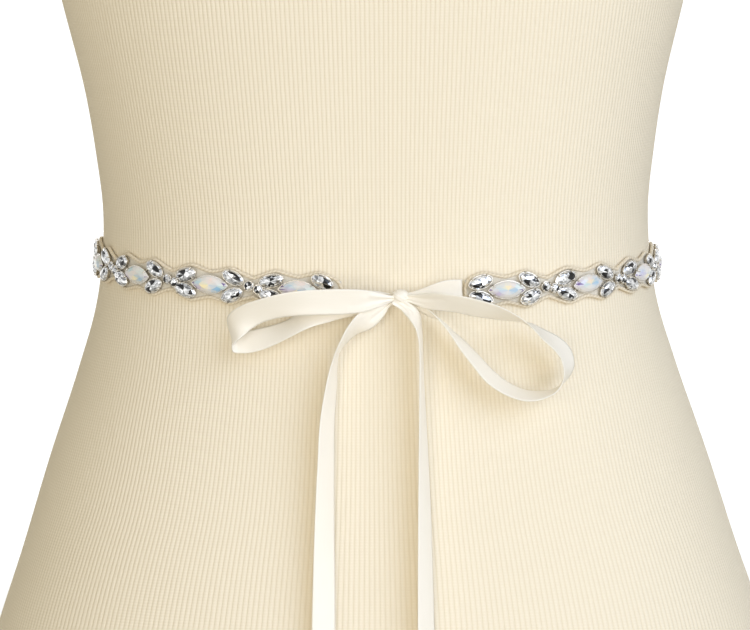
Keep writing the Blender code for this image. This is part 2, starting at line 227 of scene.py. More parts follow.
# The satin ribbon. Each row is a place on its centre line, measured from the knot: to the right,
# up, and out from the form's back. slant is the way its width points, clockwise from straight up
# as seen from behind the form, lean is how far the width turns out towards the viewer.
RIBBON_WIDTH = 9.8
RIBBON_WALL = 0.34
RIBBON_STEP = 0.8
RIBBON_ACROSS = 15
SELVEDGE = 0.55
SELVEDGE_RIB = 0.45
SATIN_DIM = (0.955, 0.90, 0.795, 1)
SATIN_PALE = (0.985, 0.945, 0.855, 1)
SATIN_EDGE = (0.98, 0.945, 0.87, 1)
PLEAT = 0.4
CUP = 0.22
KNOT_RIGHT = 8.9
KNOT_HEIGHT = 290.4
KNOT_OUT = 6.4
KNOT_HALF = (3.7, 4.2, 3.1)
KNOT_SQUARENESS = 2.3
RIBBON_COLUMNS = ("right", "up", "out", "slant", "lean", "width")
RIBBONS = {
    "ribbon_end_right": (
        (23.8, 1.5, 1.3, 0, 0, 8.2),
        (17.6, 1.2, 2.2, 0, 5, 8.6),
        (11.8, 0.4, 2.9, 0, 8, 6.8),
        (7.8, 0.1, 3.2, 0, 4, 4.6),
        (3.5, -0.1, 3.6, 0, 0, 2.6),
    ),
    "ribbon_end_left": (
        (-21.3, -2.0, 1.3, 0, 0, 8.3),
        (-13.3, -2.0, 2.3, 0, 4, 8.2),
        (-8.2, -1.3, 2.8, 0, 4, 6.4),
        (-3.5, -0.5, 3.6, 0, 0, 3.0),
    ),
    "bow_loop_left": (
        (-3.7, -0.6, 8.8, 0, 0, 2.6),
        (-6.6, -0.7, 10.0, 0, 2, 4.4),
        (-9.6, -0.8, 11.3, 0, 5, 6.4),
        (-13.5, -0.9, 12.7, 0, 7, 8.4),
        (-21.6, -1.0, 14.0, 0, 9, 9.8),
        (-32.5, -1.1, 15.3, 0, 9, 9.8),
        (-41.2, -1.7, 15.8, 0, 17, 9.8),
        (-50.0, -3.5, 15.3, 0, 27, 9.8),
        (-57.7, -6.5, 14.3, -4, 20, 9.8),
        (-61.2, -9.0, 13.4, -8, 6, 9.8),
        (-63.6, -12.2, 12.0, -12, -18, 9.8),
        (-64.5, -15.2, 9.8, -14, -46, 9.8),
        (-63.2, -17.4, 7.9, -5, -48, 9.8),
        (-60.5, -17.5, 7.2, -3, -46, 9.8),
        (-57.6, -17.0, 7.0, 0, -38, 9.8),
        (-54.2, -16.2, 7.0, 0, -38, 9.8),
        (-48.0, -14.2, 7.0, 0, -46, 9.8),
        (-41.5, -11.3, 7.4, 0, -52, 9.8),
        (-36.9, -8.7, 7.5, 0, -46, 9.8),
        (-31.9, -5.9, 7.3, 0, -24, 9.8),
        (-26.6, -4.2, 7.0, 0, -6, 9.8),
        (-15.2, -2.2, 6.2, 0, 0, 8.6),
        (-9.0, -1.5, 5.6, 0, 0, 5.8),
        (-4.0, -1.1, 5.2, 0, 0, 3.0),
    ),
    "bow_loop_right": (
        (3.7, -0.6, 8.8, 0, 10, 3.0),
        (6.6, -0.9, 10.0, 1, 20, 4.6),
        (9.4, -1.3, 11.4, 2, 30, 6.5),
        (15.1, -1.5, 14, 5, 42, 9.5),
        (21.1, -2.2, 15.2, 8, 44, 9.8),
        (28.2, -3.8, 16.2, 12, 45, 9.8),
        (36.5, -6.0, 16.5, 17, 54, 9.8),
        (43.7, -8.6, 17, 22, 72, 9.8),
        (48.7, -10.9, 17, 30, 90, 9.8),
        (54.4, -15.1, 16.5, 38, 106, 9.8),
        (59.8, -19.2, 16, 46, 116, 9.8),
        (63.2, -23.6, 15, 68, 119, 9.8),
        (64.0, -27.5, 14.5, 90, 117, 9.8),
        (62.8, -31.7, 13.5, 118, 105, 9.8),
        (58.9, -36.0, 12.5, 145, 90, 9.8),
        (54.0, -37.7, 12, 168, 80, 9.8),
        (47.4, -37.9, 11.5, 186, 72, 9.8),
        (41.3, -35.7, 11, 202, 68, 9.8),
        (34.5, -31.0, 11, 215, 64, 9.8),
        (28.1, -23.8, 10.5, 225, 68, 9.8),
        (23.3, -18.1, 10, 228, 74, 9.8),
        (19.5, -13.6, 9.5, 226, 84, 9.8),
        (15.1, -8.9, 8.3, 222, 92, 8.5),
        (10.5, -6.2, 6.0, 212, 118, 5.5),
        (5.6, -3.2, 5.1, 208, 160, 3.0),
    ),
    "ribbon_tail_left": (
        (-4.7, -3.0, 7.0, 125, -10, 2.4),
        (-7.6, -5.0, 7.6, 130, -14, 5.4),
        (-11.4, -7.5, 8.1, 135, -22, 8.2),
        (-17.9, -12.0, 9.0, 138, -58, 9.8),
        (-21.4, -16.5, 8.6, 125, -72, 9.8),
        (-24.0, -20.8, 7.9, 112, -80, 9.8),
        (-25.3, -25.7, 7.4, 100, -76, 9.8),
        (-26.3, -32.5, 7.2, 97, -67, 9.8),
        (-28.0, -45.6, 6.9, 92, -58, 9.8),
        (-28.9, -64.7, 6.3, 91, -51, 9.8),
        (-30.3, -124.5, 4.8, 90, -28, 9.8),
        (-31.2, -180, 4.4, 90, -20, 9.8),
        (-32.0, -226, 4.4, 90, -14, 9.8),
    ),
    "ribbon_tail_right": (
        (2.7, -4.3, 9.0, 38, -12, 4.4),
        (4.4, -5.9, 9.5, 48, -44, 6.2),
        (5.7, -7.9, 9.7, 62, -61, 8.0),
        (6.7, -10.3, 9.5, 78, -73, 9.6),
        (7.5, -14.6, 9.0, 87, -80, 9.8),
        (7.8, -20.7, 8.6, 90, -82, 9.8),
        (7.9, -32.7, 8.0, 90, -80, 9.8),
        (8.1, -45.8, 7.6, 90, -75, 9.8),
        (8.3, -64.9, 7.1, 90, -67, 9.8),
        (8.5, -124.5, 6.2, 90, -51, 9.8),
        (8.8, -185, 5.4, 90, -40, 9.8),
        (9.2, -243, 5.2, 90, -34, 9.8),
    ),
}
TAIL_SLANT_CUT = 4.0

# One more row at the knot for each stretch, before its first row or after its last one: there the
# cloth is drawn together inside the knot.
TUCKS = {
    "ribbon_end_right": (None, (1.4, -0.2, 4.4, 0, 0, 2.2)),
    "ribbon_end_left": (None, (-1.4, -0.3, 4.4, 0, 0, 2.4)),
    "bow_loop_left": ((-1.2, -0.3, 8.0, 0, 0, 2.0), (-1.5, -0.7, 5.4, 0, 0, 2.4)),
    "bow_loop_right": ((1.2, -0.2, 8.2, 0, 6, 2.4), (2.2, -1.4, 5.4, 205, 165, 2.6)),
    "ribbon_tail_left": ((-1.6, -1.2, 6.8, 122, -6, 2.2), None),
    "ribbon_tail_right": ((-2.3, -0.8, 8.6, 31, -8, 4.0), None),
}

# Soft creases of each ribbon, as straight runs in its flat cut: where one starts and ends along and
# across the ribbon, how wide it is, and how far it lifts the cloth.
CREASES = {
    "ribbon_end_right": (
        (4, 1.5, 21, 0.3, 1.0, 0.18),
        (9, -2.4, 21, -0.8, 0.9, 0.2),
    ),
    "ribbon_end_left": (
        (4, 1.0, 18, 0.4, 0.9, 0.18),
        (8, -2.0, 18, -0.6, 0.8, 0.2),
    ),
    "bow_loop_left": (
        (0, 0.3, 11, 2.1, 0.55, -0.5),
        (6, -0.4, 18, -1.8, 1.1, 0.2),
        (26, -3.0, 44, -0.5, 2.2, 0.14),
        (108, 0.4, 144, 0.2, 1.0, -0.3),
    ),
    "bow_loop_right": (
        (0, 0.5, 16, 1.6, 0.7, -0.4),
        (2, -0.6, 13, -2.2, 0.8, 0.2),
        (22, 1.5, 40, -1.0, 2.4, 0.14),
        (150, 0.3, 178, 0.2, 0.8, -0.35),
    ),
    "ribbon_tail_left": (
        (0, 0.3, 12, 0.9, 0.7, -0.35),
        (4, -1.0, 15, -2.6, 0.8, 0.2),
        (64, 2.0, 104, -1.0, 3.0, 0.12),
    ),
    "ribbon_tail_right": (
        (0, -0.2, 11, 0.6, 0.7, -0.25),
        (74, -1.5, 122, 1.2, 3.0, 0.12),
    ),
}

# Folds of the knot, each a trough across the wrap: its place up the slant, its spread and depth.
# They are shares of the knot's half size, as is how small it is drawn inside its solid.
KNOT_WRAP_SLANT = -36
KNOT_FOLDS = (
    (-0.62, 0.15, 0.10),
    (-0.20, 0.12, 0.06),
    (0.24, 0.15, 0.10),
    (0.68, 0.14, 0.06),
)
KNOT_DRAWN_IN = 0.90
KNOT_ROWS = 40
KNOT_COLUMNS = 48

# The camera stands behind the form, a little above the sash, where the photograph was taken from.
CAMERA_TARGET = (-0.68, -96.5, 283.82)
CAMERA_DISTANCE = 1500
CAMERA_ELEVATION = 6.0
CAMERA_ROLL = 0.6
CAMERA_LENS = 190
CAMERA_SENSOR = 36

# The light: a broad cool one from the right, a broad warmer one from behind the camera, a fill on
# the side that the camera doesn't see, and the room.
SIDE_LIGHT = ((0.65, -0.68, 0.34), 1.41, (0.885, 1.0, 1.24), 54)
FRONT_LIGHT = ((-0.18, -0.98, -0.05), 1.17, (1.058, 1.0, 0.92), 50)
FAR_LIGHT = ((0.0, 0.96, 0.28), 1.1, (1.0, 1.0, 1.04), 30)
ROOM_SEEN = (1.0, 1.0, 1.0, 1)
ROOM_LIGHT = (0.370, 0.345, 0.275, 1)
FLOOR_HALF = 24
FLOOR_GAP = 0.0005
FLOOR_GLOW = 0.7
GLOW_FROM = 0.45
GLOW_TO = 1.1


def column(rows, columns, name):
    """One named column of a table."""
    return np.array([row[columns.index(name)] for row in rows], float)


def smooth_through(knots, values, at):
    """A cubic curve through the rows, its slope at a row taken from its two neighbours."""
    steps = np.diff(knots)
    chords = np.diff(values) / steps
    slopes = np.empty(len(knots))
    slopes[0] = chords[0]
    slopes[-1] = chords[-1]
    slopes[1:-1] = (chords[:-1] * steps[1:] + chords[1:] * steps[:-1]) / (steps[1:] + steps[:-1])
    at = np.clip(np.asarray(at, float), knots[0], knots[-1])
    row = np.clip(np.searchsorted(knots, at, side="right") - 1, 0, len(steps) - 1)
    part = (at - knots[row]) / steps[row]
    start = values[row] * (1 + 2 * part) * (1 - part) ** 2
    start_slope = slopes[row] * steps[row] * part * (1 - part) ** 2
    end = values[row + 1] * part ** 2 * (3 - 2 * part)
    end_slope = slopes[row + 1] * steps[row] * part ** 2 * (part - 1)
    return start + start_slope + end + end_slope


def form_size(height, name):
    """One size of the form's section at the given heights."""
    heights = column(FORM_ROWS, FORM_COLUMNS, "height")
    return smooth_through(heights, column(FORM_ROWS, FORM_COLUMNS, name), height)


def form_section(turn, height):
    """Across, depth and outward normal of the form's section, turned from the back towards +X.

    The section is a squared oval: |x / half width|^2.4 + |y / depth|^2.4 = 1, with its own depth
    behind and before.
    """
    half_width = form_size(height, "half_width")
    behind = np.cos(turn) > 0
    depth = np.where(behind, form_size(height, "back"), form_size(height, "front"))
    power = 2 / FORM_SQUARENESS
    across_share = np.sign(np.sin(turn)) * np.abs(np.sin(turn)) ** power
    depth_share = -np.sign(np.cos(turn)) * np.abs(np.cos(turn)) ** power
    normal_x = np.sign(across_share) * np.abs(across_share) ** (FORM_SQUARENESS - 1) / half_width
    normal_y = np.sign(depth_share) * np.abs(depth_share) ** (FORM_SQUARENESS - 1) / depth
    length = np.hypot(normal_x, normal_y)
    return across_share * half_width, depth_share * depth, normal_x / length, normal_y / length


def back_depth(across, height):
    """How far behind the axis the form's back lies at a place across and up it."""
    share = np.clip(np.abs(across) / form_size(height, "half_width"), 0, 0.98)
    return form_size(height, "back") * (1 - share ** FORM_SQUARENESS) ** (1 / FORM_SQUARENESS)


def unit(vectors):
    """The same directions, one unit long."""
    return vectors / np.linalg.norm(vectors, axis=-1, keepdims=True)


class BeltLine:
    """The belt's centre line on the form, measured along it from the middle of the back."""

    def __init__(self):
        self.turns = np.linspace(0, 2 * np.pi, BELT_STEPS + 1)
        across, depth, _, _ = form_section(self.turns, self.height(self.turns))
        up = self.height(self.turns)
        points = np.stack([across, depth, up], axis=-1)
        steps = np.linalg.norm(np.diff(points, axis=0), axis=1)
        self.distance = np.concatenate([[0], np.cumsum(steps)])
        self.length = self.distance[-1]
        self.start = BELT_RIGHT_END
        self.end = self.length - BELT_LEFT_END
        self.pitch = (self.length - LAST_MOTIF - FIRST_MOTIF) / (MOTIF_COUNT - 1)

    def height(self, turn):
        """Height of the line: level in front and at the sides, dipping behind, falling to +X."""
        across, depth, _, _ = form_section(turn, np.full(np.shape(turn), BELT_HEIGHT))
        behind = np.clip(-depth / form_size(BELT_HEIGHT, "back"), 0, 1)
        return BELT_HEIGHT - BELT_DIP * behind ** 2 - BELT_LEAN * across

    def point(self, along, up, out):
        """A place on the belt: along its line, up across it and out from the form."""
        turn = np.interp(along, self.distance, self.turns)
        height = self.height(turn) + up
        across, depth, normal_x, normal_y = form_section(turn, height)
        return np.stack([across + out * normal_x, depth + out * normal_y, height], axis=-1)

    def seat(self, along, up):
        """A place on the form's surface, with the directions along, up and out from there."""
        spot = self.point(along, up, 0.0)
        out = unit(self.point(along, up, 1.0) - spot)
        run = self.point(along + 1.0, up, 0.0) - self.point(along - 1.0, up, 0.0)
        run = unit(run - np.dot(run, out) * out)
        return spot, run, np.cross(out, run), out


def grid_faces(rows, columns, around):
    """Corner numbers of a grid's quads, and the same quads in a grid that isn't joined round."""
    spans = columns if around else columns - 1
    low, left = np.meshgrid(np.arange(rows - 1), np.arange(spans), indexing="ij")
    low, left = low.ravel(), left.ravel()
    high, right = low + 1, left + 1
    joined = right % columns
    quads = np.stack(
        [low * columns + left, low * columns + joined, high * columns + joined, high * columns + left],
        axis=1,
    )
    wide = spans + 1
    flat = np.stack([low * wide + left, low * wide + right, high * wide + right, high * wide + left], axis=1)
    return quads, flat


def signed_volume(points, faces):
    """The volume that the faces close in, below zero where they point inwards."""
    points = points - points.mean(axis=0)
    total = 0.0
    for part in faces:
        for corner in range(1, part.shape[1] - 1):
            first, second, third = points[part[:, 0]], points[part[:, corner]], points[part[:, corner + 1]]
            total += np.sum(first * np.cross(second, third))
    return total / 6


def make_piece(name, points, faces, finish, replaces=(), uv=None, tones=None, smooth=True):
    """A closed piece from points in millimetres, its faces turned outwards, set as whole arrays.

    faces is a list of arrays of corner numbers, a row for each face. uv is a list of places and a
    list of arrays shaped like the faces. tones has a colour for each face.
    """
    if signed_volume(points, faces) < 0:
        faces = [part[:, ::-1] for part in faces]
        if uv is not None:
            uv = (uv[0], [part[:, ::-1] for part in uv[1]])
    corners = np.concatenate([part.ravel() for part in faces])
    sizes = np.concatenate([np.full(len(part), part.shape[1]) for part in faces])
    mesh = bpy.data.meshes.new(name)
    mesh.vertices.add(len(points))
    mesh.vertices.foreach_set("co", (points * MM).astype(np.float32).ravel())
    mesh.loops.add(len(corners))
    mesh.loops.foreach_set("vertex_index", corners.astype(np.int32))
    mesh.polygons.add(len(sizes))
    starts = np.concatenate([[0], np.cumsum(sizes)[:-1]])
    mesh.polygons.foreach_set("loop_start", starts.astype(np.int32))
    mesh.polygons.foreach_set("use_smooth", np.full(len(sizes), smooth))
    mesh.update(calc_edges=True)
    if uv is not None:
        places, uv_faces = uv
        layer = mesh.uv_layers.new(name="cut")
        chosen = places[np.concatenate([part.ravel() for part in uv_faces])]
        layer.data.foreach_set("uv", chosen.astype(np.float32).ravel())
    if tones is not None:
        layer = mesh.color_attributes.new("tone", "FLOAT_COLOR", "CORNER")
        full = np.concatenate([tones, np.ones((len(tones), 1))], axis=1)
        layer.data.foreach_set("color", np.repeat(full, sizes, axis=0).astype(np.float32).ravel())
    mesh.materials.append(finish)
    piece = bpy.data.objects.new(name, mesh)
    bpy.context.scene.collection.objects.link(piece)
    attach(piece, "root")
    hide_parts(*replaces)
    return piece


def make_wall(name, face, back, finish, replaces, places):
    """A thin closed wall between two grids of points, with the same places of the cut on both skins."""
    rows, columns = face.shape[:2]
    rings = np.concatenate([face, back[:, ::-1]], axis=1)
    quads, flat = grid_faces(rows, 2 * columns, True)
    across = np.arange(columns - 1)
    strip = np.stack([across, across + 1, 2 * columns - 2 - across, 2 * columns - 1 - across], axis=1)
    last = (rows - 1) * 2 * columns
    cut = np.concatenate([places, places[:, ::-1], places[:, :1]], axis=1)
    flat_last = (rows - 1) * (2 * columns + 1)
    return make_piece(
        name,
        rings.reshape(-1, 3),
        [quads, strip[:, ::-1], strip + last],
        finish,
        replaces,
        uv=(cut.reshape(-1, 2), [flat, strip[:, ::-1], strip + flat_last]),
    )


class Finish:
    """A material with its nodes, put together by short calls."""

    def __init__(self, name, **sockets):
        self.material = bpy.data.materials.new(name)
        self.material.use_nodes = True
        self.tree = self.material.node_tree
        self.shader = self.tree.nodes["Principled BSDF"]
        for socket, value in sockets.items():
            self.shader.inputs[socket.replace("_", " ")].default_value = value

    def node(self, kind, inputs, **settings):
        """A node whose inputs are numbers, colours or other nodes' outputs."""
        made = self.tree.nodes.new(kind)
        for key, value in settings.items():
            setattr(made, key, value)
        for key, value in inputs.items():
            if isinstance(value, bpy.types.NodeSocket):
                self.tree.links.new(value, made.inputs[key])
            else:
                made.inputs[key].default_value = value
        return made

    def math(self, operation, first, second=0.0, third=0.0):
        """One sum."""
        return self.node("ShaderNodeMath", {0: first, 1: second, 2: third}, operation=operation).outputs[0]

    def mix(self, share, first, second, blend_type="MIX"):
        """Two colours mixed."""
        inputs = {"Factor": share, "A": first, "B": second}
        made = self.tree.nodes.new("ShaderNodeMix")
        made.data_type = "RGBA"
        made.blend_type = blend_type
        sockets = {"Factor": made.inputs[0], "A": made.inputs[6], "B": made.inputs[7]}
        for key, value in inputs.items():
            if isinstance(value, bpy.types.NodeSocket):
                self.tree.links.new(value, sockets[key])
            else:
                sockets[key].default_value = value
        return made.outputs[2]

    def places(self):
        """The object's own coordinates and the two coordinates of the piece's flat cut."""
        source = self.node("ShaderNodeTexCoord", {})
        split = self.node("ShaderNodeSeparateXYZ", {0: source.outputs["UV"]})
        return source.outputs["Object"], split.outputs[0], split.outputs[1]

    def noise(self, place, scale, detail=2.0):
        """Soft noise from 0 to 1."""
        return self.node(
            "ShaderNodeTexNoise", {"Vector": place, "Scale": scale, "Detail": detail}
        ).outputs["Fac"]

    def bump(self, height, distance, strength=1.0):
        """Relief of the given height in metres, joined to the shader."""
        made = self.node("ShaderNodeBump", {"Height": height, "Distance": distance, "Strength": strength})
        self.link(made.outputs["Normal"], "Normal")

    def link(self, output, socket):
        """One output joined to one of the shader's sockets."""
        self.tree.links.new(output, self.shader.inputs[socket])


def jersey_finish():
    """Fine ribbed knit: a rounded rib, a narrow groove beside it with painted shade in it, small crosswise
    ticks.
    """
    finish = Finish("jersey", Roughness=0.9, Sheen_Weight=0.08, Sheen_Roughness=0.5)
    finish.shader.inputs["Specular IOR Level"].default_value = 0.15
    place, rib_count, height = finish.places()
    rib = finish.math("ABSOLUTE", finish.math("SINE", finish.math("MULTIPLY", rib_count, math.pi)))
    rib = finish.math("POWER", rib, 0.7)
    tick = finish.math("SINE", finish.math("MULTIPLY", height, 2 * math.pi / COURSE))
    tick = finish.math("MULTIPLY_ADD", tick, 0.5, 0.5)
    cloudy = finish.noise(place, 45.0)
    uneven = finish.noise(place, 420.0)
    # The grooves between the ribs get a darker colour: painted shade.
    shade = finish.mix(rib, JERSEY_GROOVE_SHADE, JERSEY_RIDGE)
    shade = finish.mix(finish.math("MULTIPLY", tick, 0.14), shade, JERSEY_TICK)
    shade = finish.mix(finish.math("MULTIPLY", cloudy, 0.12), shade, JERSEY_CLOUD)
    shade = finish.mix(finish.math("MULTIPLY", uneven, 0.10), shade, JERSEY_FLUFF)
    finish.link(shade, "Base Color")
    relief = finish.math("MULTIPLY_ADD", tick, -0.14, rib)
    finish.bump(relief, RIB_RELIEF)
    return finish.material


def net_finish():
    """Fine off-white net: a small even mesh with the cloth behind showing through it."""
    finish = Finish("net", Roughness=0.7)
    finish.shader.inputs["Specular IOR Level"].default_value = 0.2
    place, along, up = finish.places()
    wave_a = finish.math("SINE", finish.math("MULTIPLY", finish.math("ADD", along, up), NET_MESH))
    wave_b = finish.math("SINE", finish.math("MULTIPLY", finish.math("SUBTRACT", along, up), NET_MESH))
    mesh = finish.math("ABSOLUTE", finish.math("MULTIPLY", wave_a, wave_b))
    thread = finish.math("SUBTRACT", 1.0, mesh)
    cloudy = finish.noise(place, 400.0)
    finish.link(finish.mix(cloudy, NET_DIM, NET_PALE), "Base Color")
    finish.link(finish.math("MULTIPLY_ADD", thread, 0.35, 0.50), "Alpha")
    finish.bump(thread, 0.00006)
    return finish.material


def cord_finish():
    """Soft twisted cotton thread, a little paler on its plies than in the grooves between them, which carry
    painted shade.
    """
    finish = Finish("cord", Roughness=0.8, Sheen_Weight=0.1)
    finish.shader.inputs["Specular IOR Level"].default_value = 0.2
    place, turn, along = finish.places()
    ply = finish.math("MULTIPLY", along, 2 * math.pi / CORD_LAY)
    ply = finish.math("MULTIPLY_ADD", turn, 4 * math.pi, ply)
    ply = finish.math("MULTIPLY_ADD", finish.math("SINE", ply), 0.5, 0.5)
    fibre = finish.noise(place, 2200.0)
    cloudy = finish.noise(place, 160.0)
    # Darker between the plies: painted shade.
    shade = finish.mix(ply, CORD_GROOVE_SHADE, CORD_PLY)
    shade = finish.mix(finish.math("MULTIPLY", fibre, 0.4), shade, CORD_FIBRE)
    shade = finish.mix(finish.math("MULTIPLY", cloudy, 0.25), shade, CORD_CLOUD)
    finish.link(shade, "Base Color")
    finish.bump(fibre, 0.00010)
    return finish.material


def satin_finish():
    """Ivory satin: a soft gloss, faint lengthwise threads and a firmer woven edge."""
    finish = Finish("satin", Roughness=0.38, Sheen_Weight=0.12, Sheen_Roughness=0.4)
    finish.shader.inputs["Specular IOR Level"].default_value = 0.4
    _, across, along = finish.places()
    stretched = finish.node("ShaderNodeCombineXYZ", {0: across, 1: finish.math("MULTIPLY", along, 0.02)})
    thread = finish.noise(stretched.outputs[0], 7.0)
    edge = finish.math("ABSOLUTE", across)
    selvedge = finish.math("GREATER_THAN", edge, RIBBON_WIDTH / 2 - SELVEDGE)
    shade = finish.mix(thread, SATIN_DIM, SATIN_PALE)
    shade = finish.mix(finish.math("MULTIPLY", selvedge, 0.35), shade, SATIN_EDGE)
    finish.link(shade, "Base Color")
    ribs = finish.math("SINE", finish.math("MULTIPLY", along, 2 * math.pi / SELVEDGE_RIB))
    relief = finish.math("MULTIPLY_ADD", finish.math("MULTIPLY", selvedge, ribs), 0.5, thread)
    finish.bump(relief, 0.00003)
    return finish.material


def silver_finish():
    """Silver plate, a little worn and uneven."""
    finish = Finish("silver", Metallic=1.0)
    place, _, _ = finish.places()
    worn = finish.noise(place, 900.0)
    finish.link(finish.mix(worn, SILVER_WORN, SILVER_BRIGHT), "Base Color")
    finish.link(finish.math("MULTIPLY_ADD", worn, 0.2, 0.14), "Roughness")
    finish.bump(worn, 0.00005)
    return finish.material


def crystal_finish():
    """Foiled clear glass: each facet's tone is a painted reflection of a white, grey or black part of the
    room, broken up by a painted sparkle.
    """
    finish = Finish("crystal", Metallic=0.8, Roughness=0.08)
    finish.shader.inputs["Coat Weight"].default_value = 0.35
    finish.shader.inputs["Coat Roughness"].default_value = 0.03
    place, _, _ = finish.places()
    tone = finish.node("ShaderNodeVertexColor", {}, layer_name="tone").outputs["Color"]
    # A painted sparkle: small cells that brighten or dim the facets' painted reflections.
    broken = finish.node("ShaderNodeTexVoronoi", {"Vector": place, "Scale": 1100.0})
    painted_sparkle = finish.node("ShaderNodeSeparateXYZ", {0: broken.outputs["Color"]}).outputs[0]
    painted_sparkle = finish.math("MULTIPLY_ADD", painted_sparkle, 0.8, 0.42)
    painted_sparkle = finish.node("ShaderNodeCombineXYZ", {0: painted_sparkle, 1: painted_sparkle, 2: painted_sparkle}).outputs[0]
    finish.link(finish.mix(0.7, tone, painted_sparkle, "MULTIPLY"), "Base Color")
    return finish.material


def opal_finish():
    """Milky opal glass with soft flashes of colour and painted violet glints at its tips, under a clear
    polish.
    """
    finish = Finish("opal", Roughness=0.2)
    finish.shader.inputs["Coat Weight"].default_value = 0.5
    finish.shader.inputs["Coat Roughness"].default_value = 0.04
    place, _, _ = finish.places()
    tone = finish.node("ShaderNodeVertexColor", {}, layer_name="tone").outputs["Color"]
    milk = finish.noise(place, 420.0, 1.0)
    finish.link(finish.mix(finish.math("MULTIPLY", milk, 0.12), tone, OPAL_CLOUD), "Base Color")
    return finish.material


def dress_form(finish):
    """The form's knitted cover: squared ovals stacked up, in a back and a front panel.

    Across each panel a place of the cut is its distance round the form from the panel's middle,
    divided by the spacing of the ribs at its height, so a whole number of it is one rib. The
    panels meet in a seam at each side, pressed in a little.
    """
    bands = [np.linspace(low, high, count, endpoint=False) for low, high, count in FORM_BANDS]
    heights = np.concatenate(bands + [[FORM_BANDS[-1][1]]])
    columns = FORM_COLUMNS_ROUND
    turns = np.linspace(0, 2 * np.pi, columns + 1)
    turn_grid, height_grid = np.meshgrid(turns, heights)
    across, depth, normal_x, normal_y = form_section(turn_grid, height_grid)
    steps = np.hypot(np.diff(across, axis=1), np.diff(depth, axis=1))
    arc = np.concatenate([np.zeros((len(heights), 1)), np.cumsum(steps, axis=1)], axis=1)
    pitch = smooth_through(
        column(RIB_ROWS, RIB_COLUMNS, "height"), column(RIB_ROWS, RIB_COLUMNS, "pitch"), height_grid
    )
    quarter = columns // 4
    past_seam = np.arange(columns + 1) > 2 * quarter
    back_panel = (arc - past_seam * arc[:, -1:]) / pitch
    front_panel = (arc - arc[:, 2 * quarter, None]) / pitch
    seam = np.isin(np.arange(columns + 1), (quarter, 3 * quarter)) * SEAM_DEPTH
    rings = np.stack([across - seam * normal_x, depth - seam * normal_y, height_grid], axis=-1)
    rows = len(heights)
    quads, flat = grid_faces(rows, columns, True)
    points = np.concatenate([rings[:, :-1].reshape(-1, 3), [[0, 0, heights[0]], [0, 0, heights[-1]]]])
    side = np.arange(columns)
    after = (side + 1) % columns
    base = rows * columns
    under = np.stack([side, after, np.full(columns, base)], axis=1)[:, ::-1]
    top_row = (rows - 1) * columns
    top = np.stack([top_row + side, top_row + after, np.full(columns, base + 1)], axis=1)
    cut = np.concatenate([np.stack([panel, height_grid], axis=-1).reshape(-1, 2)
                          for panel in (back_panel, front_panel)])
    wide = columns + 1
    in_front = (side >= quarter) & (side < 3 * quarter)
    flat = flat + np.tile(in_front * rows * wide, rows - 1)[:, None]
    flat_under = np.stack([side, side + 1, side], axis=1)[:, ::-1]
    flat_top = flat_under[:, ::-1] + (rows - 1) * wide
    return make_piece(
        "form_jersey",
        points,
        [quads, under, top],
        finish,
        ["dress_form"],
        uv=(cut, [flat, flat_under, flat_top]),
    )


def scallop(along, line):
    """Half the strip's height: it swells round the paired stones and narrows at each link."""
    place = (along - FIRST_MOTIF + line.pitch / 2) % line.pitch - line.pitch / 2
    knots = column(SCALLOP_ROWS, SCALLOP_COLUMNS, "along") * line.pitch / 36
    return smooth_through(knots, column(SCALLOP_ROWS, SCALLOP_COLUMNS, "half_height"), place)


def sash_net(line, finish):
    """The net strip: a thin wall round the form, half as high as the scallop, a little wavy."""
    inset = CORD_RADIUS
    steps = int((line.end - line.start - 2 * inset) / NET_STEP)
    along = np.linspace(line.start + inset, line.end - inset, steps + 1)[:, None]
    share = np.linspace(-1, 1, NET_ACROSS)[None, :]
    up = share * (scallop(along, line) - inset)
    along = along + 0 * share
    short, long = NET_RIPPLE_LENGTHS
    wavy = NET_RIPPLE * np.sin(along / short + NET_RIPPLE_SKEW * share) * np.cos(along / long - share)
    face = line.point(along, up, NET_OUT + wavy + NET_WALL / 2)
    back = line.point(along, up, NET_OUT + wavy - NET_WALL / 2)
    places = np.stack([along, up], axis=-1)
    strip = make_wall("sash_net", face, back, finish, ["sash_backing"], places)
    width = 2 * scallop(along[:, 0], line)
    length = line.end - line.start
    area = float(np.mean(width)) * length
    return strip, (float(width.max()) * MM, length * MM), area * MM * MM


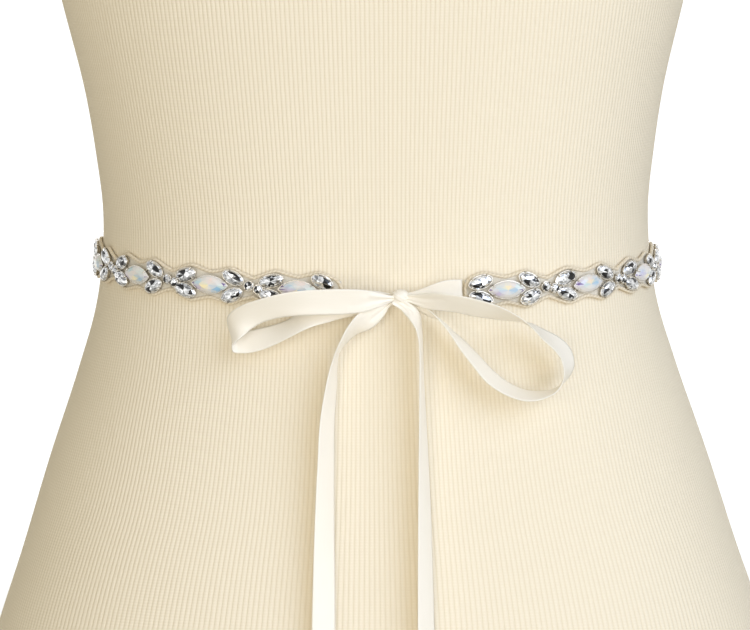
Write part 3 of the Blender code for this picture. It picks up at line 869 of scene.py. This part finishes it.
def sash_cord(line, finish):
    """The edge cord: two plies twisted, carried round the strip's edge.

    Its radius is r (1 + twist cos(2 t + 2 pi s / lay)) at turn t and distance s along the edge.
    """
    inset = CORD_RADIUS
    fine = np.linspace(line.start + inset, line.end - inset, CORD_EDGE_STEPS)
    half = scallop(fine, line) - inset
    corner = np.minimum(fine - fine[0], fine[-1] - fine) / CORD_CORNER
    half = half * np.sqrt(1 - np.clip(1 - corner, 0, 1) ** 2)
    edge = np.concatenate(
        [np.stack([fine, -half], axis=1), np.stack([fine[::-1], half[::-1]], axis=1)[1:]]
    )
    gaps = np.linalg.norm(np.diff(edge, axis=0), axis=1)
    keep = np.concatenate([[True], gaps > 1e-9])
    edge = edge[keep]
    distance = np.concatenate([[0], np.cumsum(np.linalg.norm(np.diff(edge, axis=0), axis=1))])
    turns_of_lay = int(distance[-1] / CORD_LAY)
    count = int(distance[-1] / CORD_STEP)
    at = np.linspace(0, distance[-1], count, endpoint=False)
    path = np.stack([np.interp(at, distance, edge[:, axis]) for axis in (0, 1)], axis=1)
    run = unit(np.roll(path, -2, axis=0) - np.roll(path, 2, axis=0))
    side = np.stack([-run[:, 1], run[:, 0]], axis=1)
    turn = np.linspace(0, 2 * np.pi, CORD_SIDES, endpoint=False)
    twist = 2 * np.pi * turns_of_lay * at / distance[-1]
    radius = CORD_RADIUS * (1 + CORD_TWIST * np.cos(2 * turn[None, :] + twist[:, None]))
    along = path[:, :1] + side[:, :1] * radius * np.cos(turn)
    up = path[:, 1:] + side[:, 1:] * radius * np.cos(turn)
    rings = line.point(along, up, CORD_OUT + radius * np.sin(turn))
    rings = np.concatenate([rings, rings[:1]])
    quads, flat = grid_faces(count + 1, CORD_SIDES, True)
    quads = np.where(quads >= count * CORD_SIDES, quads - count * CORD_SIDES, quads)
    round_share = np.arange(CORD_SIDES + 1) / CORD_SIDES
    lengths = np.concatenate([at, distance[-1:]]) * CORD_LAY * turns_of_lay / distance[-1]
    cut = np.stack(np.meshgrid(round_share, lengths), axis=-1).reshape(-1, 2)
    points = rings[:-1].reshape(-1, 3)
    return make_piece("sash_cord", points, [quads], finish, ["sash_backing"], uv=(cut, [flat]))


def stone_outline(kind, turn, half_length, half_width):
    """Lengthwise and crosswise places round a stone: L cos t and W (1 - |cos t|^p)^q."""
    power, pinch = STONE_OUTLINE[kind]
    lengthwise = half_length * np.cos(turn)
    rest = np.clip(1 - np.abs(np.cos(turn)) ** power, 0, 1) ** pinch
    return lengthwise, half_width * np.sign(np.sin(turn)) * rest


def stacked_rings(kind, sides, half_length, half_width, rows):
    """Rings of the stone's outline: each row is its grow in millimetres, its share, height and step."""
    rings = []
    for grow, share, height, step in rows:
        turn = (np.arange(sides) + step) * 2 * np.pi / sides
        lengthwise, crosswise = stone_outline(
            kind, turn, (half_length + grow) * share, (half_width + grow) * share
        )
        rings.append(np.stack([lengthwise, crosswise, np.full(sides, float(height))], axis=1))
    return rings


def facetted_stone(kind, half_length, half_width, top):
    """A cut stone: a girdle, a ring of facets half a step round from it, a table, and its underside."""
    sides = STONE_SIDES[kind]
    crown = top - STONE_GIRDLE
    rows = (
        (0, 1.0, STONE_GIRDLE, 0),
        (0, 0.82, STONE_GIRDLE + 0.62 * crown, 0.5),
        (0, 0.52, top, 0),
        (0, 0.7, SETTING_FOOT + 0.4, 0),
    )
    rings = stacked_rings(kind, sides, half_length, half_width, rows)
    middle = [[0, 0, top + 0.05], [0, 0, SETTING_FOOT + 0.3]]
    points = np.concatenate(rings + [middle])
    here = np.arange(sides)
    after = (here + 1) % sides
    girdle, bezel, table, low = (here + ring * sides for ring in range(4))
    girdle_after, bezel_after, table_after, low_after = (after + ring * sides for ring in range(4))
    centre = np.full(sides, 4 * sides)
    under = centre + 1
    faces = np.concatenate(
        [
            np.stack([girdle, girdle_after, bezel], axis=1),
            np.stack([bezel, girdle_after, bezel_after], axis=1),
            np.stack([table, bezel, table_after], axis=1),
            np.stack([bezel, bezel_after, table_after], axis=1),
            np.stack([table, table_after, centre], axis=1),
            np.stack([girdle_after, girdle, low], axis=1),
            np.stack([girdle_after, low, low_after], axis=1),
            np.stack([low_after, low, under], axis=1),
        ]
    )
    return points, faces


def clear_reflection_tones(sides, chance):
    """Painted reflections on a clear stone's facets: mostly white and pale grey, with a few black ones."""
    tones = chance.choice(CLEAR_REFLECTION_TONES, size=8 * sides, p=CLEAR_SHARES)
    for size in BLACK_PATCHES:
        start = chance.integers(sides)
        patch = (start + np.arange(size)) % sides
        for row in (2, 3, 4):
            if chance.random() < BLACK_CHANCE:
                # Patches of black facets: painted dark reflections.
                tones[row * sides + patch] = DARK_REFLECTION_TONE
    return tones[:, None] * np.array(CLEAR_TINT)


def opal_tones(points, faces, chance):
    """Colours of an opal's facets: milk with flashes of colour, and painted violet glints on some facets at
    both tips.
    """
    middle = points[faces].mean(axis=1)
    reach = np.abs(points[:, 0]).max()
    spot = middle[:, :2] / reach
    colour = np.tile(OPAL_MILK, (len(faces), 1))
    warm = chance.uniform(0.8, 1.0)
    for right, up, spread, shade, weight in OPAL_FLASHES:
        shift = chance.normal(0, 0.11, 2)
        gap = (spot - np.array([right, up]) - shift) * np.array([1.0, 1.5])
        near = weight * warm * np.exp(-np.sum(gap ** 2, axis=1) / spread ** 2)
        colour += np.clip(near, 0, 1)[:, None] * (np.array(shade) - colour)
    tips = np.flatnonzero(spot[:, 0] < OPAL_TIPS[0]), np.flatnonzero(spot[:, 0] > OPAL_TIPS[1])
    for tip, size in zip(tips, OPAL_TIP_FACETS):
        # A few facets at each tip get a painted violet glint.
        colour[chance.choice(tip, size=size, replace=False)] = OPAL_VIOLET_GLINT
    return colour


def setting_cup(kind, half_length, half_width):
    """The silver cup: its wall flares from the foot to a rim round the stone's girdle."""
    sides = CUP_SIDES[kind]
    rows = (
        (-0.45, 1, SETTING_FOOT, 0),
        (-0.05, 1, SETTING_FOOT + 0.75, 0),
        (0.20, 1, STONE_GIRDLE - 0.05, 0),
        (0.14, 1, STONE_GIRDLE + 0.14, 0),
        (-0.16, 1, STONE_GIRDLE + 0.05, 0),
    )
    rings = stacked_rings(kind, sides, half_length, half_width, rows)
    points = np.concatenate(rings + [[[0, 0, SETTING_FOOT], [0, 0, SETTING_FOOT + 0.5]]])
    quads, _ = grid_faces(len(rows), sides, True)
    here = np.arange(sides)
    after = (here + 1) % sides
    foot = np.full(sides, len(rows) * sides)
    last = (len(rows) - 1) * sides
    caps = np.concatenate(
        [np.stack([after, here, foot], axis=1), np.stack([last + here, last + after, foot + 1], axis=1)]
    )
    return points, quads, caps


def setting_claws(kind, half_length, half_width, top):
    """Claws: short bent wires from the cup's wall up over the stone's edge, thinner at the tip."""
    bend = (
        (0.12, STONE_GIRDLE - 0.9, 0.26),
        (0.30, STONE_GIRDLE + 0.05, 0.27),
        (0.20, STONE_GIRDLE + 0.45, 0.26),
        (-0.22, STONE_GIRDLE + 0.80, 0.23),
        (-0.62, STONE_GIRDLE + 0.92 * (top - STONE_GIRDLE) / 1.25, 0.13),
    )
    points, quads, caps = [], [], []
    base = 0
    wire_quads, _ = grid_faces(len(bend), CLAW_SIDES, True)
    ring = np.arange(CLAW_SIDES) * 2 * np.pi / CLAW_SIDES
    for turn in CLAW_PLACES[kind]:
        spot = np.array(stone_outline(kind, turn, half_length, half_width))
        ahead = np.array(stone_outline(kind, turn + 0.05, half_length, half_width))
        run = unit(ahead - spot)
        outward = np.array([run[1], -run[0]])
        path = np.array([[*(spot + outward * grow), height] for grow, height, _ in bend])
        forward = unit(np.gradient(path, axis=0))
        side = np.array([*run, 0.0])
        face = np.cross(forward, side)
        radius = np.array([row[2] for row in bend])[:, None, None]
        wire = path[:, None] + radius * (
            np.cos(ring)[None, :, None] * side
            + CLAW_FLATNESS * np.sin(ring)[None, :, None] * face[:, None]
        )
        points.append(wire.reshape(-1, 3))
        quads.append(wire_quads + base)
        end = base + (len(bend) - 1) * CLAW_SIDES
        caps.append([base + CLAW_SIDES - 1 - corner for corner in range(CLAW_SIDES)])
        caps.append([end + corner for corner in range(CLAW_SIDES)])
        base += len(bend) * CLAW_SIDES
    return np.concatenate(points), np.concatenate(quads), np.array(caps)


def outward_faces(points, faces):
    """The same faces, all turned round if together they point inwards."""
    return [part[:, ::-1] for part in faces] if signed_volume(points, faces) < 0 else faces


class Pile:
    """Points and faces of many small bodies, gathered by the number of corners of their faces."""

    def __init__(self):
        self.points = []
        self.faces = {}
        self.tones = []
        self.count = 0

    def add(self, points, faces, tones=None):
        for part in outward_faces(points, faces):
            self.faces.setdefault(part.shape[1], []).append(part + self.count)
        self.points.append(points)
        self.count += len(points)
        if tones is not None:
            self.tones.append(tones)

    def make(self, name, finish, slot, replaces, smooth):
        faces = [np.concatenate(parts) for parts in self.faces.values()]
        tones = np.concatenate(self.tones) if self.tones else None
        points = np.concatenate(self.points)
        return make_piece(name, points, faces, finish, replaces, tones=tones, smooth=smooth)


def motif(number, line, finishes, chance):
    """One group of stones in their silver settings, each stone flat on its own bit of the belt."""
    middle = FIRST_MOTIF + (number - 1) * line.pitch
    stones = STONES[:-LINK_STONES] if number == MOTIF_COUNT else STONES
    silver, clear, opal = Pile(), Pile(), Pile()
    for along_a, up_a, along_b, up_b, width, top, kind in stones:
        half_length = math.hypot(along_b - along_a, up_b - up_a) / 2
        half_width = width / 2
        spot, run, rise, out = line.seat(middle + (along_a + along_b) / 2, (up_a + up_b) / 2)
        slope = math.atan2(up_b - up_a, along_b - along_a) + chance.normal(0, STONE_TURN)
        lengthwise = math.cos(slope) * run + math.sin(slope) * rise
        lift = chance.normal(0, STONE_TILT, 2)
        tilted = unit(out + lift[0] * lengthwise + lift[1] * np.cross(out, lengthwise))
        lengthwise = unit(lengthwise - np.dot(lengthwise, tilted) * tilted)
        axes = np.array([lengthwise, np.cross(tilted, lengthwise), tilted])

        def placed(local):
            return spot + local @ axes

        points, faces = facetted_stone(kind, half_length - STONE_INSET, half_width - STONE_INSET, top)
        if kind == "opal":
            opal.add(placed(points), [faces], opal_tones(points, faces, chance))
        else:
            clear.add(placed(points), [faces], clear_reflection_tones(STONE_SIDES[kind], chance))
        half_length -= SETTING_INSET
        half_width -= SETTING_INSET
        points, quads, caps = setting_cup(kind, half_length, half_width)
        silver.add(placed(points), [quads, caps])
        points, quads, caps = setting_claws(kind, half_length, half_width, top)
        silver.add(placed(points), [quads, caps])
    node = f"motif_{number:02d}"
    silver.make(f"settings_{number:02d}", finishes["silver"], "silver", [node], True)
    clear.make(f"clear_stones_{number:02d}", finishes["crystal"], "crystal", [node], False)
    opal.make(f"opal_{number:02d}", finishes["opal"], "opal", [node], False)


def crease_lift(name, along, across):
    """How far the creases lift the cloth: each fades with the square of the way off its straight run."""
    lift = np.zeros(np.shape(along))
    for along_a, across_a, along_b, across_b, spread, height in CREASES.get(name, ()):
        run = np.array([along_b - along_a, across_b - across_a])
        share = ((along - along_a) * run[0] + (across - across_a) * run[1]) / np.sum(run ** 2)
        share = np.clip(share, 0, 1)
        gap = np.hypot(along - along_a - share * run[0], across - across_a - share * run[1])
        lift += height * np.exp(-(gap / spread) ** 2)
    return lift


def ribbon(name, rows, finish):
    """A stretch of ribbon: a thin wall carried along its centre line, its width square to it.

    The cloth is cupped a little across, lies in small pleats where it is drawn together at the
    knot, and carries its own creases.
    """
    before, after = TUCKS[name]
    rows = (before,) * (before is not None) + rows + (after,) * (after is not None)
    values = {key: column(rows, RIBBON_COLUMNS, key) for key in RIBBON_COLUMNS}
    height = KNOT_HEIGHT + values["up"]
    across = KNOT_RIGHT + values["right"]
    depth = -back_depth(across, height) - values["out"]
    places = np.stack([across, depth, height], axis=-1)
    spans = np.linalg.norm(np.diff(places, axis=0), axis=1)
    knots = np.concatenate([[0], np.cumsum(spans)])
    at = np.linspace(0, knots[-1], int(round(knots[-1] / RIBBON_STEP)) + 1)
    centre = np.stack([smooth_through(knots, places[:, axis], at) for axis in range(3)], axis=-1)
    slant = np.radians(smooth_through(knots, values["slant"], at))
    lean = np.radians(smooth_through(knots, values["lean"], at))
    width_here = smooth_through(knots, values["width"], at)
    forward = unit(np.gradient(centre, at, axis=0))
    in_view = np.stack([np.sin(slant), np.zeros(len(at)), np.cos(slant)], axis=-1)
    hint = np.cos(lean)[:, None] * in_view - np.sin(lean)[:, None] * np.array([0, 1, 0])
    side = unit(hint - np.sum(hint * forward, axis=1)[:, None] * forward)
    out = np.cross(forward, side)
    share = np.linspace(-1, 1, RIBBON_ACROSS)
    place_across = share[None, :] * width_here[:, None] / 2
    drawn = np.clip(1 - width_here / RIBBON_WIDTH, 0, 1)[:, None]
    pleats = PLEAT * drawn * np.cos(2.5 * np.pi * share + 0.6)
    cup = CUP * (1 - share ** 2) * (1 - drawn)
    along = np.repeat(at[:, None], RIBBON_ACROSS, axis=1)
    lift = pleats + cup + crease_lift(name, along, place_across)
    grid = centre[:, None] + place_across[..., None] * side[:, None]
    if "tail" in name:
        grid[-1, :, 2] += share * TAIL_SLANT_CUT
        grid[-2, :, 2] += share * TAIL_SLANT_CUT / 2
    face = grid + (lift + RIBBON_WALL / 2)[..., None] * out[:, None]
    back = grid + (lift - RIBBON_WALL / 2)[..., None] * out[:, None]
    flat_across = np.repeat(share[None, :] * RIBBON_WIDTH / 2, len(at), axis=0)
    cut = np.stack([flat_across, along], axis=-1)
    piece = make_wall(name + "_satin", face, back, finish, [name], cut)
    return piece, float(knots[-1]) * MM


def bow_knot(finish):
    """The knot: a squared ball with the folds of the wrap pressed into it along its slant."""
    rows, columns = KNOT_ROWS, KNOT_COLUMNS
    power = 2 / KNOT_SQUARENESS
    polar = np.linspace(0, np.pi, rows + 2)[1:-1]
    turn = np.linspace(0, 2 * np.pi, columns, endpoint=False)
    polar_grid, turn_grid = np.meshgrid(polar, turn, indexing="ij")
    girth = np.sin(polar_grid) ** power
    out_share = girth * np.sign(np.cos(turn_grid)) * np.abs(np.cos(turn_grid)) ** power
    up_share = girth * np.sign(np.sin(turn_grid)) * np.abs(np.sin(turn_grid)) ** power
    right_share = np.sign(np.cos(polar_grid)) * np.abs(np.cos(polar_grid)) ** power
    slant = math.radians(KNOT_WRAP_SLANT)
    up_slant = -math.sin(slant) * right_share + math.cos(slant) * up_share
    press = np.zeros(up_slant.shape)
    for place, spread, depth in KNOT_FOLDS:
        press += depth * np.exp(-((up_slant - place) / spread) ** 2)
    swell = KNOT_DRAWN_IN - press
    middle_y = -back_depth(KNOT_RIGHT, KNOT_HEIGHT) - KNOT_OUT
    across = KNOT_RIGHT + KNOT_HALF[0] * right_share * swell
    depth = middle_y - KNOT_HALF[1] * out_share * swell
    height = KNOT_HEIGHT + KNOT_HALF[2] * up_share * swell
    rings = np.stack([across, depth, height], axis=-1)
    ends = [[KNOT_RIGHT + reach, middle_y, KNOT_HEIGHT] for reach in (KNOT_HALF[0], -KNOT_HALF[0])]
    points = np.concatenate([rings.reshape(-1, 3), ends])
    quads, flat = grid_faces(rows, columns, True)
    here = np.arange(columns)
    after = (here + 1) % columns
    pole = np.full(columns, rows * columns)
    last = (rows - 1) * columns
    first_cap = np.stack([after, here, pole], axis=1)
    last_cap = np.stack([last + here, last + after, pole + 1], axis=1)
    wide = columns + 1
    cut = np.stack(np.meshgrid(np.linspace(0, 24, wide), np.linspace(-4, 4, rows)), axis=-1)[..., ::-1]
    flat_first = np.stack([here + 1, here, here], axis=1)
    flat_last = np.stack([here, here + 1, here], axis=1) + (rows - 1) * wide
    return make_piece(
        "bow_knot_satin",
        points,
        [quads, first_cap, last_cap],
        finish,
        ["bow_knot"],
        uv=(cut.reshape(-1, 2), [flat, flat_first, flat_last]),
    )


def floor():
    """A plain pale floor that glows, more brightly away from the object, standing in for a lit sweep.

    It throws no light back at the object and shades none, so the lights reach it from below too.
    """
    finish = Finish("studio_floor", Base_Color=(0.9, 0.9, 0.9, 1), Roughness=1.0)
    finish.shader.inputs["Specular IOR Level"].default_value = 0.0
    finish.shader.inputs["Emission Color"].default_value = (1, 1, 1, 1)
    place, _, _ = finish.places()
    far = finish.node("ShaderNodeVectorMath", {0: place}, operation="LENGTH").outputs["Value"]
    glow = finish.node(
        "ShaderNodeMapRange", {"Value": far, 1: GLOW_FROM, 2: GLOW_TO, 3: 0.0, 4: FLOOR_GLOW}
    ).outputs[0]
    finish.link(glow, "Emission Strength")
    mesh = bpy.data.meshes.new("studio_floor")
    reach = FLOOR_HALF
    low = -FLOOR_GAP
    corners = [(-reach, -reach, low), (reach, -reach, low), (reach, reach, low), (-reach, reach, low)]
    mesh.from_pydata(corners, [], [(0, 1, 2, 3)])
    mesh.materials.append(finish.material)
    thing = bpy.data.objects.new("studio_floor", mesh)
    bpy.context.scene.collection.objects.link(thing)
    thing.visible_diffuse = False
    thing.visible_shadow = False


def room_light():
    """An even room: white where it is seen or mirrored, dimmer and warmer where it only lights."""
    world = bpy.data.worlds.new("studio")
    bpy.context.scene.world = world
    world.use_nodes = True
    tree = world.node_tree
    background = tree.nodes["Background"]
    path = tree.nodes.new("ShaderNodeLightPath")
    tint = tree.nodes.new("ShaderNodeMix")
    tint.data_type = "RGBA"
    tint.inputs[6].default_value = ROOM_LIGHT
    tint.inputs[7].default_value = ROOM_SEEN
    seen = tree.nodes.new("ShaderNodeMath")
    seen.operation = "MAXIMUM"
    tree.links.new(path.outputs["Is Camera Ray"], seen.inputs[0])
    tree.links.new(path.outputs["Is Glossy Ray"], seen.inputs[1])
    tree.links.new(seen.outputs[0], tint.inputs[0])
    tree.links.new(tint.outputs[2], background.inputs["Color"])


def soft_box(name, direction, energy, colour, softness):
    """One broad light from far away, out of the given direction."""
    data = bpy.data.lights.new(name, "SUN")
    data.energy = energy
    data.color = colour
    data.angle = math.radians(softness)
    lamp = bpy.data.objects.new(name, data)
    bpy.context.scene.collection.objects.link(lamp)
    backward = unit(np.array(direction, float))
    right = unit(np.cross([0, 0, 1], backward))
    up = np.cross(backward, right)
    lamp.matrix_world = Matrix(np.column_stack([right, up, backward]).tolist()).to_4x4()


def camera():
    """The camera, looking at the sash from behind the form and slightly down."""
    data = bpy.data.cameras.new("camera")
    data.lens = CAMERA_LENS
    data.sensor_width = CAMERA_SENSOR
    data.clip_start = 0.05
    data.clip_end = 100
    thing = bpy.data.objects.new("camera", data)
    bpy.context.scene.collection.objects.link(thing)
    tilt = math.radians(CAMERA_ELEVATION)
    roll = math.radians(CAMERA_ROLL)
    forward = np.array([0, math.cos(tilt), -math.sin(tilt)])
    level = np.array([1.0, 0, 0])
    upright = np.array([0, math.sin(tilt), math.cos(tilt)])
    right = math.cos(roll) * level - math.sin(roll) * upright
    up = math.sin(roll) * level + math.cos(roll) * upright
    place = (np.array(CAMERA_TARGET) - CAMERA_DISTANCE * forward) * MM
    pose = np.eye(4)
    pose[:3, 0] = right
    pose[:3, 1] = up
    pose[:3, 2] = -forward
    pose[:3, 3] = place
    thing.matrix_world = Matrix(pose.tolist())
    bpy.context.scene.camera = thing
    bpy.context.scene.view_settings.view_transform = "Standard"


def main():
    chance = np.random.default_rng(SEED)
    line = BeltLine()
    camera()
    room_light()
    soft_box("side_light", *SIDE_LIGHT)
    soft_box("front_light", *FRONT_LIGHT)
    soft_box("far_light", *FAR_LIGHT)
    floor()
    finishes = {"silver": silver_finish(), "crystal": crystal_finish(), "opal": opal_finish()}
    dress_form(jersey_finish())
    cord = sash_cord(line, cord_finish())
    strip, cut, area = sash_net(line, net_finish())
    for number in range(1, MOTIF_COUNT + 1):
        motif(number, line, finishes, chance)
    satin = satin_finish()
    for name, rows in RIBBONS.items():
        piece, length = ribbon(name, rows, satin)
    bow_knot(satin)


main()
